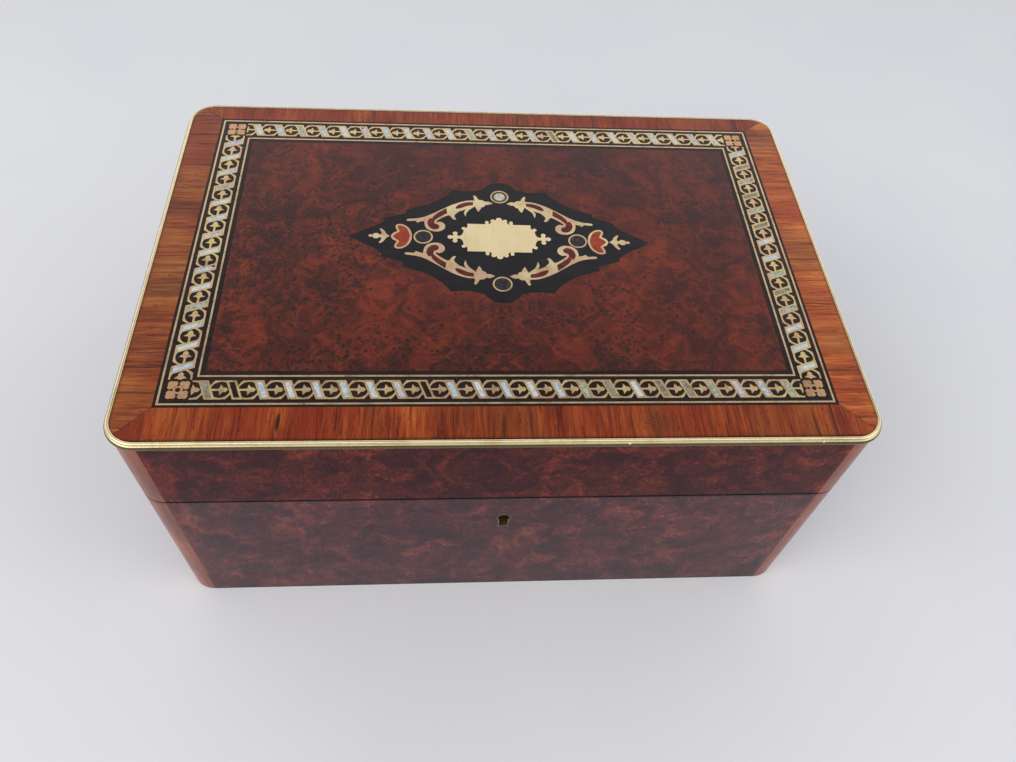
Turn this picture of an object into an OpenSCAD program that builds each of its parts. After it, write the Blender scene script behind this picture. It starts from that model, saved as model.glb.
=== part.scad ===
// Lidded jewellery casket: burl veneer on wooden boards, crossbanded lid with a
// brass fret border, centre panel, brass edge moulding, box lock and two hinges.
// Millimetres. Front is -Y, +X to the right, +Z up, origin at the middle of the
// underside.

/* [Box] */
// overall length of the wooden sides
box_w = 300; // [240:1:360]
// overall depth of the wooden sides
box_d = 202; // [160:1:240]
// overall height, closed
box_h = 137; // [100:1:180]
// height of the seam between base and lid
seam_z = 91.6; // [60:0.1:120]
// visible gap at the seam
seam_gap = 0.8; // [0.3:0.1:1.5]
// radius of the upright corners
corner_r = 12; // [6:0.5:20]
// thickness of the boards
board = 9; // [6:0.5:14]
// thickness of the veneer
veneer = 1; // [0.6:0.1:2]
// thickness of the bottom and top boards
panel = 8; // [5:0.5:12]

/* [Lid top] */
// how far the crossbanding stops short of the side faces
band_inset = 1.5; // [1:0.1:3]
// outer brass line to side face, left and right
line_side = 17.25; // [12:0.25:25]
// outer brass line to front face
line_front = 17.75; // [12:0.25:25]
// outer brass line to back face
line_back = 12.75; // [8:0.25:25]
// distance between outer and inner brass line
line_gap = 13.2; // [10:0.1:18]
// width of a brass line
line_w = 0.8; // [0.4:0.1:1.5]
// dark margin outside the outer brass line
dark_out = 1.2; // [0.6:0.1:3]
// dark margin inside the inner brass line
dark_in = 2; // [0.6:0.1:3]
// repeat of the fret
pitch = 10.5; // [8:0.1:14]
// width of the fret
fret_w = 9; // [6:0.1:11]
// depth of the brass and pearl
inlay = 0.3; // [0.2:0.1:0.6]
// middle of the centre panel, left to right
panel_x = 1.7; // [-10:0.1:10]
// middle of the centre panel, front to back
panel_y = 7.3; // [-10:0.1:20]
// small turn of the centre panel, degrees
panel_turn = -1; // [-5:0.5:5]

/* [Brass edge] */
// height of the brass edge moulding
edge_h = 3.7; // [3:0.1:8]
// how far the bead stands out from the side faces
edge_out = 1.1; // [1:0.1:4]
// radius of the bead
bead_r = 1.4; // [1:0.1:2]
// position of the joints along the front and back
edge_joint = 136; // [100:1:137]

/* [Lock] */
// keyhole middle, left to right
key_x = 1.9; // [-10:0.1:10]
// keyhole middle, height
key_z = 73.2; // [60:0.1:85]
// width of the lock plates
lock_w = 48; // [36:1:60]
// bolt travel
bolt_throw = 4; // [3:0.5:6]

/* [Hinges] */
// hinge middle from the box middle
hinge_x = 95; // [60:1:120]
// length of each hinge
hinge_l = 34; // [20:1:50]
// outside radius of the knuckles
knuckle_r = 2; // [1.5:0.1:2]
// pin radius
pin_r = 0.8; // [0.5:0.1:1.2]

/* [Hidden] */
$fn = 64;
e = 0.01;
hw = box_w/2;
hd = box_d/2;
base_top = seam_z - seam_gap/2;
lid_bot = seam_z + seam_gap/2;
cw = hw - veneer;            // outside of the boards
cd = hd - veneer;
iw = cw - board;             // inside of the boards
id = cd - board;
ax = hw - corner_r;          // corner arc middles
ay = hd - corner_r;
edge_z = box_h - edge_h;     // underside of the brass edge
top_z = box_h - veneer;      // underside of the lid veneers
in_z = box_h - inlay;        // underside of the brass and pearl
lid_in = top_z - panel;      // inside of the lid top board
lx = hw - line_side;         // outer brass line, middle of its width
lyf = -hd + line_front;
lyb = hd - line_back;
gx = lx + line_w/2 + dark_out;   // outside of the dark border
gyf = lyf - line_w/2 - dark_out;
gyb = lyb + line_w/2 + dark_out;
nx = lx - line_gap;              // inner brass line
nyf = lyf + line_gap;
nyb = lyb - line_gap;
fx = nx - line_w/2 - dark_in;    // burl field
fyf = nyf + line_w/2 + dark_in;
fyb = nyb - line_w/2 - dark_in;
mx = lx - line_gap/2;            // middle line of the fret
myf = lyf + line_gap/2;
myb = lyb - line_gap/2;
flower = 4.7;                    // half size of a corner flower
cap_y = -98.2;                   // outside of the lock cap
lp_y = -id - 1.2;                // outside of the lock plate
loop_x = 8.5;                    // loops to each side of the keyhole

// ------------------------------------------------------------ colours
module walnut() { color([0.42, 0.28, 0.16]) children(); }
module burl() { color([0.38, 0.15, 0.10]) children(); }
module band_wood() { color([0.66, 0.32, 0.16]) children(); }
module ebony() { color([0.09, 0.08, 0.08]) children(); }
module brass() { color([0.86, 0.74, 0.42]) children(); }
module cloth() { color([0.45, 0.08, 0.12]) children(); }

// ------------------------------------------------------------ plain shapes
module rrect(x, y, r) {
  square([2*x - 2*r, 2*y], center = true);
  square([2*x, 2*y - 2*r], center = true);
  for (i = [-1, 1], j = [-1, 1]) translate([i*(x - r), j*(y - r)]) circle(r);
}
module slab(z0, z1) { translate([0, 0, z0]) linear_extrude(z1 - z0) children(); }
module rect(x0, y0, x1, y1) { translate([x0, y0]) square([x1 - x0, y1 - y0]); }
module box(x0, y0, z0, x1, y1, z1) { translate([x0, y0, z0]) cube([x1 - x0, y1 - y0, z1 - z0]); }
module ycyl(x, z, r, y0, y1) { translate([x, y1, z]) rotate([90, 0, 0]) cylinder(r = r, h = y1 - y0); }
module xcyl(y, z, r, x0, x1) { translate([x0, y, z]) rotate([0, 90, 0]) cylinder(r = r, h = x1 - x0); }

// points may carry a third value to mark a sharp corner; all others are rounded
function xy(p) = [p[0], p[1]];
function way(p, i, n) = len(p[i]) > 2 ? [0, 0] : (xy(p[(i + 1) % n]) - xy(p[(i + n - 1) % n]))/2;
function smooth(p, k = 4) = let(n = len(p)) [for (i = [0 : n - 1])
  let(j = (i + 1) % n, a = xy(p[i]), b = xy(p[j]), u = way(p, i, n), v = way(p, j, n))
  for (m = [0 : (len(p[i]) > 2 && len(p[j]) > 2) ? 0 : k - 1])
    let(t = m/k) (2*t*t*t - 3*t*t + 1)*a + (t*t*t - 2*t*t + t)*u + (3*t*t - 2*t*t*t)*b + (t*t*t - t*t)*v];
function area(p, i = 0) = i == len(p) ? 0 :
  p[i][0]*p[(i + 1) % len(p)][1] - p[(i + 1) % len(p)][0]*p[i][1] + area(p, i + 1);
function back(p) = [for (i = [len(p) - 1 : -1 : 0]) p[i]];
function ccw(p) = area(p) < 0 ? back(p) : p;
function flipx(q) = len(q) > 2 ? [-q[0], q[1], q[2]] : [-q[0], q[1]];
function flipy(q) = len(q) > 2 ? [q[0], -q[1], q[2]] : [q[0], -q[1]];
function inner(p) = [for (i = [1 : len(p) - 2]) p[i]];
// half outline from one axis point to the other, closed by its mirror image
function half_y(p) = concat(p, [for (q = back(inner(p))) flipy(q)]);
// quarter outline from the X axis to the Y axis, closed by three mirror images
function quarter(p) = let(h = concat(p, [for (i = [len(p) - 2 : -1 : 0]) flipx(p[i])])) half_y(h);
module blob(p, k = 4) polygon(ccw(smooth(p, k)));

// keyhole shape in X-Z, grown by g, as a prism between two depths
module keyhole(g, y0, y1) {
  ycyl(key_x, key_z, 2.75 + g, y0, y1);
  box(key_x - 1.95 - g, y0, key_z - 7.9 - g, key_x + 1.95 + g, y1, key_z);
}
// room for the hinge knuckles in the back edge
module knuckle_room() {
  for (s = [-1, 1]) xcyl(hd, seam_z, knuckle_r + 0.4, s*hinge_x - hinge_l/2 - 0.4, s*hinge_x + hinge_l/2 + 0.4);
}

// ------------------------------------------------------------ base boards
module shell(y0, y1, x0, x1) { intersection() { rrect(cw, cd, corner_r - veneer); rect(x0, y0, x1, y1); } }

module base_front_board() walnut() difference() {
  slab(0, base_top) shell(-cd, -id, -cw, cw);
  // mortise for the lock
  box(key_x - 18.2, cap_y, 61.8, key_x + 18.2, -id + 1, base_top + 1);
  box(key_x - 22, -96.8, 75.2, key_x + 22.6, -id + 1, 80.8);
  box(key_x - lock_w/2, lp_y, 60, key_x + lock_w/2, -id + 1, base_top + 1);
  box(key_x - lock_w/2, cap_y - 0.8, base_top - 1.2, key_x + lock_w/2, -id + 1, base_top + 1);
  keyhole(0.45, -cd - 1, cap_y + 1);
}
module base_back_board() walnut() difference() {
  slab(0, base_top) shell(id, cd, -cw, cw);
  knuckle_room();
  for (s = [-1, 1]) {
    box(s*hinge_x - hinge_l/2, id - 1, base_top - 1.2, s*hinge_x + hinge_l/2, hd, base_top + 1);
    for (k = [-1, 1]) translate([s*hinge_x + k*11, id + 4.5, base_top - 10]) cylinder(r = 0.9, h = 10);
  }
}
module base_left_board() walnut() slab(0, base_top) shell(-id, id, -cw, -iw);
module base_right_board() walnut() slab(0, base_top) shell(-id, id, iw, cw);
module base_bottom_board() walnut() box(-iw, -id, 0, iw, id, panel);

// ------------------------------------------------------------ side veneers
module corner_skin() {
  for (i = [-1, 1], j = [-1, 1]) difference() {
    translate([i*ax, j*ay]) difference() { circle(corner_r); circle(corner_r - veneer); }
    rect(-ax, -hd - 1, ax, hd + 1);
    rect(-hw - 1, -ay, hw + 1, ay);
  }
}
module base_front_veneer() burl() difference() {
  box(-ax, -hd, 0, ax, -cd, base_top);
  keyhole(0.45, -hd - 1, -cd + 1);
}
module base_back_veneer() burl() difference() {
  box(-ax, cd, 0, ax, hd, base_top);
  knuckle_room();
}
module base_end_veneers() burl() {
  box(-hw, -ay, 0, -cw, ay, base_top);
  box(cw, -ay, 0, hw, ay, base_top);
}
module base_corner_veneers() burl() slab(0, base_top) corner_skin();

module lid_front_veneer() burl() box(-ax, -hd, lid_bot, ax, -cd, edge_z);
module lid_back_veneer() burl() difference() {
  box(-ax, cd, lid_bot, ax, hd, edge_z);
  knuckle_room();
}
module lid_end_veneers() burl() {
  box(-hw, -ay, lid_bot, -cw, ay, edge_z);
  box(cw, -ay, lid_bot, hw, ay, edge_z);
}
module lid_corner_veneers() burl() slab(lid_bot, edge_z) corner_skin();

// ------------------------------------------------------------ lock
module keyhole_lining() brass() difference() {
  keyhole(0.45, -hd - 0.1, cap_y);
  keyhole(0, -hd - 1, cap_y + 1);
}
module lock_plate() brass() difference() {
  box(key_x - lock_w/2, lp_y, 60, key_x + lock_w/2, -id, base_top);
  // countersunk screw holes
  for (s = [-1, 1], z = [65, 84]) {
    ycyl(key_x + s*21, z, 1.1, lp_y - 1, -id + 1);
    ycyl(key_x + s*21, z, 1.9, -id - 0.5, -id + 1);
  }
}
module lock_selvedge() brass() difference() {
  box(key_x - lock_w/2, cap_y - 0.8, base_top - 1.2, key_x + lock_w/2, lp_y, base_top);
  // slots for the two loops
  for (s = [-1, 1]) box(key_x + s*loop_x - 1.3, -97.2, base_top - 2, key_x + s*loop_x + 1.3, lp_y + 1, base_top + 1);
  for (s = [-1, 1]) {
    translate([key_x + s*20, -95.4, base_top - 2]) cylinder(r = 1.1, h = 3);
    translate([key_x + s*20, -95.4, base_top - 0.5]) cylinder(r = 1.9, h = 1);
  }
}
module lock_case_rim() brass() difference() {
  box(key_x - 18, cap_y + 1, 62, key_x + 18, lp_y, base_top - 1.2);
  box(key_x - 16.8, cap_y, 63.2, key_x + 16.8, lp_y + 1, base_top);
  // windows the bolt bar slides through
  box(key_x - 19, -96.5, 75.6, key_x + 19, -92.9, 80.4);
}
module lock_cap() brass() difference() {
  box(key_x - 18, cap_y, 62, key_x + 18, cap_y + 1, base_top - 1.2);
  keyhole(0, cap_y - 1, cap_y + 2);
}
module lock_drill_pin() brass() ycyl(key_x, key_z, 0.9, cap_y - 0.6, lp_y);
// bent strip that presses on the bolt from below
module lock_spring() brass() {
  box(key_x + 9, -95.6, 63.2, key_x + 15, -93.6, 63.8);
  box(key_x + 14.4, -95.6, 63.8, key_x + 15, -93.6, 74.4);
  box(key_x + 10.6, -95.6, 74.4, key_x + 15, -93.6, 75);
}
module lock_bolt() brass() difference() {
  union() {
    box(key_x - 21.5, -96.2, 76, key_x + 18, -93.2, 80);
    // two risers, each with a finger that enters a loop
    for (s = [-1, 1]) {
      box(key_x + s*loop_x - 7.6, -96.2, 79, key_x + s*loop_x - 5.4, -93.2, 86);
      box(key_x + s*loop_x - 6, -95.4, 82.4, key_x + s*loop_x - 1.3, -93.8, 85);
    }
  }
  // notch for the key bit
  ycyl(key_x, key_z, 5.2, -97, -92);
}

// ------------------------------------------------------------ hinges
// knuckles 0, 2, 4 on the base leaf, 1 and 3 on the lid leaf
module knuckles(list, hole) {
  k = hinge_l/5;
  for (s = [-1, 1], i = list) difference() {
    xcyl(hd, seam_z, knuckle_r, s*hinge_x - hinge_l/2 + i*k + 0.1, s*hinge_x - hinge_l/2 + (i + 1)*k - 0.1);
    xcyl(hd, seam_z, hole, s*hinge_x - hinge_l, s*hinge_x + hinge_l);
  }
}
// leaf let into the rim, cut back round the other leaf's knuckles
module leaf(z0, z1, own, other) {
  k = hinge_l/5;
  for (s = [-1, 1]) difference() {
    union() {
      box(s*hinge_x - hinge_l/2, id, z0, s*hinge_x + hinge_l/2, hd - knuckle_r - 0.4, z1);
      for (i = own) box(s*hinge_x - hinge_l/2 + i*k + 0.1, hd - knuckle_r - 0.4, z0, s*hinge_x - hinge_l/2 + (i + 1)*k - 0.1, hd - 0.9, z1);
    }
    xcyl(hd, seam_z, knuckle_r - 0.2, s*hinge_x - hinge_l, s*hinge_x + hinge_l);
    for (k2 = [-1, 1]) translate([s*hinge_x + k2*11, id + 4.5, z0 - 1]) cylinder(r = 1, h = 4);
  }
}
module hinge_base_leaves() brass() {
  leaf(base_top - 1.2, base_top, [0, 2, 4], [1, 3]);
  knuckles([0, 2, 4], pin_r);
}
module hinge_lid_leaves() brass() {
  leaf(lid_bot, lid_bot + 1.2, [1, 3], [0, 2, 4]);
  knuckles([1, 3], pin_r + 0.05);
}
module hinge_pins() brass() for (s = [-1, 1]) xcyl(hd, seam_z, pin_r, s*hinge_x - hinge_l/2 + 0.1, s*hinge_x + hinge_l/2 - 0.1);

// ------------------------------------------------------------ screws
// head up: countersunk head flush with z, shank below, slotted
module screw_up(r, hr, l) difference() {
  union() {
    translate([0, 0, -l]) cylinder(r = r, h = l);
    translate([0, 0, -0.5]) cylinder(r = hr, h = 0.5);
  }
  translate([-hr - 1, -0.2, -0.25]) cube([2*hr + 2, 0.4, 1]);
}
module base_screws() brass() {
  for (s = [-1, 1], k = [-1, 1]) translate([s*hinge_x + k*11, id + 4.5, base_top]) screw_pan(0.9, 6);
  for (s = [-1, 1]) translate([key_x + s*20, -95.4, base_top]) screw_up(1.1, 1.9, 1.2);
  for (s = [-1, 1], z = [65, 84]) translate([key_x + s*21, -id, z]) rotate([-90, 0, 0]) screw_up(1.1, 1.9, 1.2);
}
module screw_pan(r, l) difference() {
  translate([0, 0, -l]) cylinder(r = r, h = l);
  translate([-2, -0.15, -0.3]) cube([4, 0.3, 1]);
}
module lid_screws() brass() {
  for (s = [-1, 1], k = [-1, 1]) translate([s*hinge_x + k*11, id + 4.5, lid_bot]) mirror([0, 0, 1]) screw_pan(0.9, 6);
  for (s = [-1, 1]) translate([key_x + s*20, -95.4, lid_bot]) mirror([0, 0, 1]) screw_up(1.1, 1.9, 6);
}

// ------------------------------------------------------------ base lining
module base_floor_pad() cloth() box(-iw, -id, panel, iw, id, panel + 4);
module base_wall_linings() cloth() {
  t = 1.5; z0 = panel + 4; z1 = base_top - 3;
  box(-iw, id - t, z0, iw, id, z1);
  box(-iw, -id, z0, iw, -id + t, 58);
  box(-iw, -id, 58, key_x - lock_w/2 - 2, -id + t, z1);
  box(key_x + lock_w/2 + 2, -id, 58, iw, -id + t, z1);
  box(-iw, -id + t, z0, -iw + t, id - t, z1);
  box(iw - t, -id + t, z0, iw, id - t, z1);
}

// ------------------------------------------------------------ lid boards
module lid_front_rail() walnut() difference() {
  slab(lid_bot, lid_in) shell(-cd, -id, -cw, cw);
  box(key_x - lock_w/2, cap_y - 0.8, lid_bot - 1, key_x + lock_w/2, -92.2, lid_bot + 1.2);
  for (s = [-1, 1]) translate([key_x + s*20, -95.4, lid_bot - 1]) cylinder(r = 1.1, h = 7);
}
module lid_back_rail() walnut() difference() {
  slab(lid_bot, lid_in) shell(id, cd, -cw, cw);
  knuckle_room();
  for (s = [-1, 1]) {
    box(s*hinge_x - hinge_l/2, id - 1, lid_bot - 1, s*hinge_x + hinge_l/2, hd, lid_bot + 1.2);
    for (k = [-1, 1]) translate([s*hinge_x + k*11, id + 4.5, lid_bot]) cylinder(r = 0.9, h = 10);
  }
}
module lid_left_rail() walnut() slab(lid_bot, lid_in) shell(-id, id, -cw, -iw);
module lid_right_rail() walnut() slab(lid_bot, lid_in) shell(-id, id, iw, cw);
module lid_top_board() walnut() {
  slab(lid_in, edge_z) rrect(cw, cd, corner_r - veneer);
  slab(edge_z, top_z) rrect(hw - band_inset, hd - band_inset, corner_r - band_inset);
}

// ------------------------------------------------------------ crossbanding
module band(p) {
  slab(top_z, box_h) intersection() {
    difference() {
      rrect(hw - band_inset, hd - band_inset, corner_r - band_inset);
      rect(-gx, gyf, gx, gyb);
    }
    polygon(p);
  }
}
// mitres run from the corners of the dark border out to the rounded corners
module band_front() band_wood() band([[-gx, gyf], [gx, gyf], [hw + 2, -hd - 2], [-hw - 2, -hd - 2]]);
module band_back() band_wood() band([[-gx, gyb], [gx, gyb], [hw + 2, hd + 2], [-hw - 2, hd + 2]]);
module band_left() band_wood() band([[-gx, gyf], [-gx, gyb], [-hw - 2, hd + 2], [-hw - 2, -hd - 2]]);
module band_right() band_wood() band([[gx, gyf], [gx, gyb], [hw + 2, hd + 2], [hw + 2, -hd - 2]]);

// ------------------------------------------------------------ border
module border_ground() ebony() slab(top_z, in_z) difference() {
  rect(-gx, gyf, gx, gyb);
  rect(-fx, fyf, fx, fyb);
}
// the dark margins between the brass parts are level with the top
module frame2d(x, yf, yb, w) difference() {
  rect(-x - w/2, yf - w/2, x + w/2, yb + w/2);
  rect(-x + w/2, yf + w/2, x - w/2, yb - w/2);
}
module border_lines() brass() slab(in_z, box_h) {
  frame2d(lx, lyf, lyb, line_w);
  frame2d(nx, nyf, nyb, line_w);
}
// slanted bar, leaning back along the run
module slant(w, h, lean) polygon([[-w/2 + lean/2, -h/2], [w/2 + lean/2, -h/2], [w/2 - lean/2, h/2], [-w/2 - lean/2, h/2]]);
// bud on a stem, pointing along the run
module bud() {
  translate([1.5 - pitch/2, -0.45]) square([pitch/2 - 2.2, 0.9]);
  blob(half_y([[-1, 0, 1], [-1, 0.45, 1], [-0.35, 0.85], [-0.15, 2.5, 1], [0.75, 1.5], [1.15, 0.95, 1],
    [2, 1.05], [2.9, 0, 1]]), 2);
}
// small spur between a ring and the foot of the next bar
module spur() { polygon([[3.1, -2.4], [2.5, -3.5], [1.6, -4.5], [2.3, -4.5], [3.2, -3.6], [3.5, -2.6]]); }
// one run of fret along +X with n bars, ends at +-half
module fret(n, half) {
  intersection() {
    rect(-half, -fret_w/2, half, fret_w/2);
    difference() {
      union() {
        for (i = [0 : n]) translate([(i - n/2)*pitch, 0]) difference() { circle(4.6); circle(3.8); }
        for (i = [0 : n - 1]) translate([(i - (n - 1)/2)*pitch, 0]) slant(4, fret_w, 3.4);
        for (i = [0 : n]) translate([(i - n/2)*pitch, 0]) { bud(); spur(); rotate(180) spur(); }
      }
      for (i = [0 : n - 1]) translate([(i - (n - 1)/2)*pitch, 0]) slant(2.2, 7.4, 2.8);
    }
  }
}
module pearls(n) for (i = [0 : n - 1]) translate([(i - (n - 1)/2)*pitch, 0]) slant(2.2, 7.4, 2.8);
n_long = 23;
n_short = 14;
h_long = mx - flower - 0.2;
h_short = (myb - myf)/2 - flower - 0.2;
mid_y = (myb + myf)/2;
module fret_front() brass() slab(in_z, box_h) translate([0, myf]) fret(n_long, h_long);
module fret_back() brass() slab(in_z, box_h) translate([0, myb]) rotate(180) fret(n_long, h_long);
module fret_ends() brass() slab(in_z, box_h) for (s = [-1, 1]) translate([s*mx, mid_y]) rotate(90) fret(n_short, h_short);
module pearl_bars() color([0.85, 0.85, 0.88]) slab(in_z, box_h) {
  translate([0, myf]) pearls(n_long);
  translate([0, myb]) pearls(n_long);
  for (s = [-1, 1]) translate([s*mx, mid_y]) rotate(90) pearls(n_short);
}
module flower2d() difference() {
  union() {
    circle(1.9);
    for (a = [45 : 90 : 315]) rotate(a) {
      translate([2, 0]) circle(1);
      translate([4.1, 0]) circle(1.25);
      for (s = [-1, 1]) translate([3.1, s*1.15]) circle(1.1);
    }
  }
  circle(1);
}
module corner_flowers() brass() slab(in_z, box_h)
  for (s = [-1, 1], y = [myf, myb]) translate([s*mx, y]) flower2d();

// ------------------------------------------------------------ burl field
module half_field(s) slab(top_z, box_h) difference() {
  rect(s < 0 ? -fx : 0, fyf, s < 0 ? 0 : fx, fyb);
  place() panel2d();
}
module field_left() burl() half_field(-1);
module field_right() burl() half_field(1);

// ------------------------------------------------------------ centre panel
module place() translate([panel_x, panel_y]) rotate(panel_turn) children();
module four() { children(); mirror([1, 0, 0]) children(); mirror([0, 1, 0]) children(); rotate(180) children(); }
module two() { children(); rotate(180) children(); }
// stepped outline with a round at top and bottom
module panel2d() translate([0, -0.6]) blob(quarter([[68.5, 0, 1], [64, 3], [60, 5.4], [56.5, 7.5],
  [53.4, 10.4, 1], [53.2, 12.3, 1], [48.5, 13.9], [43.6, 15.9, 1], [43.5, 18.2, 1], [38.7, 20],
  [34.7, 21.6], [31.5, 23.3], [28.5, 25.4], [26, 27.7], [24, 30], [22.4, 32.4, 1], [18.7, 32],
  [15, 31.9], [11.7, 32.3], [8, 33.5, 1], [6.6, 35.4], [4.8, 37], [2.5, 38.1], [0, 38.4]]), 3);
module panel_ground() ebony() slab(top_z, in_z) place() panel2d();

// name plate
module plate2d() translate([-0.65, 0.35]) {
  blob(quarter([[22, 0, 1], [22, 0.6, 1], [21.2, 1], [20.8, 2.2, 1], [19.6, 2.2, 1], [19.2, 1.1], [18.2, 0.9],
    [17.2, 1.5], [16.5, 3.2], [16.3, 5, 1], [15.4, 6, 1], [14.6, 6.4, 1], [14.6, 8.8, 1], [6.6, 8.8, 1],
    [6.2, 9.4, 1], [4.9, 9.4, 1], [4.6, 8.8, 1], [4, 9.6], [3.2, 10.6, 1], [1.4, 11.6, 1], [0, 11.8, 1]]), 3);
  for (s = [-1, 1]) {
    translate([s*22.4, 0]) circle(1.2);
    translate([0, s*11.9]) circle(1.4);
    for (j = [-1, 1]) {
      translate([s*16.3, j*5.7]) circle(0.95);
      translate([s*20.2, j*2.4]) circle(1.1);
      translate([s*5.6, j*10.1]) circle(0.9);
      translate([s*2.8, j*11]) circle(1.1);
    }
  }
}
module name_plate() brass() slab(in_z, box_h) place() plate2d();

// one leaf scroll: bud by the top roundel, volute by the side roundel, tail beyond it
module scroll_body2d() {
  blob([[11.4, 24.9, 1], [15, 24.8], [18.6, 23.6], [22.6, 21.5], [27.2, 18.3], [31.4, 15.3], [35, 13.1],
    [38.6, 11.9], [42.4, 11.4], [43.2, 10.6], [42.4, 10], [39.1, 10.3, 1], [38.2, 9, 1], [36.6, 9.9],
    [35, 10.2, 1], [34.6, 6.8], [33, 4.6], [30.4, 3.6], [28, 3.8], [26, 5.2], [25.4, 7.4], [26.2, 9.2],
    [27.8, 10], [29.3, 9.6, 1], [29.3, 10.5], [27, 12.6], [24.2, 14.5], [23.2, 14.1, 1], [22.2, 12.4],
    [21.2, 11.7], [20.4, 12.1], [21.2, 13.6], [21, 15], [20, 16.2, 1], [19.6, 16.7], [19, 17.3, 1],
    [16.8, 18.4], [14.2, 20], [11.6, 21, 1]], 3);
  // tendril
  blob([[12, 20.6, 1], [14.4, 18.4], [15.6, 16.2], [16.1, 14, 1], [16.8, 16.4], [15.8, 18.9], [13.4, 21.2, 1]], 3);
  // cup and bud
  translate([9.2, 22.9]) circle(2.6);
  blob([[8.4, 24.8, 1], [9.8, 25.4], [11.1, 28], [12, 28.5], [12.4, 27.8], [12, 26.2], [12.4, 24.6, 1],
    [11.7, 21, 1], [11, 19.2], [10.2, 17.4, 1], [9.2, 18.8], [8.6, 20.8, 1]], 3);
  blob([[7.2, 22.5, 1], [5.8, 22.1], [4.4, 22.6], [3.2, 23.3, 1], [4.4, 24.1], [5.8, 24.6], [7.2, 24.1, 1]], 3);
}
// the two red-brown leaves let into a scroll
module leaf_a2d() blob([[12.6, 21.7, 1], [15, 21.2], [18.4, 19.5], [20.3, 19], [20.7, 19.8], [19.6, 21.6],
  [17.6, 22.9], [15, 23.7], [12.4, 23.9, 1]], 3);
module leaf_b2d() blob([[24.6, 15.8, 1], [27.6, 13.6], [30, 11.2], [30.5, 9.9], [30, 8.7], [28.8, 8.2], [28.1, 7.2],
  [28.3, 5.8], [29.6, 5], [31.6, 5.4], [33.2, 7.4], [33.6, 10], [32.4, 12.4, 1], [31.4, 11.9, 1],
  [31, 13.4], [28.6, 16.4], [25, 19.3, 1]], 3);
module scrolls() brass() place() four() slab(in_z, box_h) difference() {
  scroll_body2d();
  leaf_a2d();
  leaf_b2d();
}
module heart_out2d() blob(half_y([[40.3, 0], [40.9, 3.4], [42.4, 6], [44.6, 7.6], [46.8, 7.8], [48, 6.6], [47.6, 4.6],
  [46.9, 3.2, 1], [48.8, 2.1], [49.8, 0]]), 3);
module heart_in2d() blob(half_y([[41.3, 0], [41.9, 3.1], [43.1, 5.4], [44.9, 6.7], [46.4, 6.9], [47, 6.3], [46.6, 4.8],
  [45.8, 3.1, 1], [47.6, 1.5], [48.8, 0]]), 3);
// the right-hand palmette and finial sit slightly lower than a mirror image would
module sides() { rotate(180) children(); translate([-0.4, -0.6]) children(); }
module palmettes() brass() slab(in_z, box_h) place() sides() difference() { heart_out2d(); heart_in2d(); }
module red_inlays() color([0.55, 0.20, 0.12]) place() {
  four() slab(in_z, box_h) { leaf_a2d(); leaf_b2d(); }
  sides() slab(in_z, box_h) heart_in2d();
}
module finials() brass() slab(in_z, box_h) place() sides() {
  blob(half_y([[50.2, 0, 1], [51.8, 1.3], [52.8, 3.2], [54.2, 4.6], [54.9, 4.2], [54.1, 2.4], [53.9, 1.1, 1],
    [55.2, 0.6, 1], [55.2, 0, 1]]), 3);
  translate([56.4, 0]) circle(1.7);
  translate([58.9, 0]) circle(0.85);
}
module roundel_spots() { for (s = [-1, 1]) { translate([s*35.25, s > 0 ? -0.4 : 0]) children(); translate([0, s*27.95]) children(); } }
module roundel_rings() brass() slab(in_z, box_h) place() roundel_spots() difference() { circle(4.35); circle(3.6); }
module roundel_discs() color([0.30, 0.27, 0.26]) slab(in_z, box_h) place() roundel_spots() circle(3.6);

// ------------------------------------------------------------ brass edge
// section: x out from the corner arc's middle, y up; a small fillet above a bead
module edge_section() {
  rect(corner_r - band_inset, edge_z, corner_r + edge_out - bead_r, box_h - 0.9);
  translate([corner_r + edge_out - bead_r, edge_z + bead_r]) circle(bead_r);
  translate([corner_r - band_inset + 0.85, box_h - 0.9]) circle(0.9);
}
module edge_run(l) { rotate([90, 0, 0]) linear_extrude(l) intersection() { edge_section(); rect(corner_r - band_inset, edge_z, 99, box_h); } }
module edge_bend() { rotate_extrude(angle = 90) intersection() { edge_section(); rect(corner_r - band_inset, edge_z, 99, box_h); } }
module edge_straights() brass() for (s = [0, 180]) rotate(s)
  translate([-edge_joint, -ay, 0]) rotate(-90) mirror([0, 1, 0]) edge_run(2*edge_joint);
module edge_bends() brass() for (s = [0, 180]) rotate(s) {
  translate([ax, -ay, 0]) rotate(-90) edge_bend();
  translate([ax, ay, 0]) edge_bend();
  translate([ax, ay, 0]) edge_run(2*ay);
  translate([edge_joint, -ay, 0]) rotate(-90) mirror([0, 1, 0]) edge_run(ax - edge_joint);
  translate([edge_joint, ay, 0]) rotate(90) edge_run(ax - edge_joint);
}

// ------------------------------------------------------------ lid half of the lock
module link_plate() brass() {
  difference() {
    box(key_x - lock_w/2, cap_y - 0.8, lid_bot, key_x + lock_w/2, -92.2, lid_bot + 1.2);
    for (s = [-1, 1]) {
      translate([key_x + s*20, -95.4, lid_bot - 1]) cylinder(r = 1.1, h = 3);
      translate([key_x + s*20, -95.4, lid_bot - 1]) cylinder(r = 1.9, h = 1.5);
    }
  }
  for (s = [-1, 1]) difference() {
    box(key_x + s*loop_x - 0.7, -96.6, 81, key_x + s*loop_x + 0.7, -92.6, lid_bot + 0.2);
    box(key_x + s*loop_x - 1, -95.8, 82, key_x + s*loop_x + 1, -93.4, 85.4);
  }
}

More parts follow.
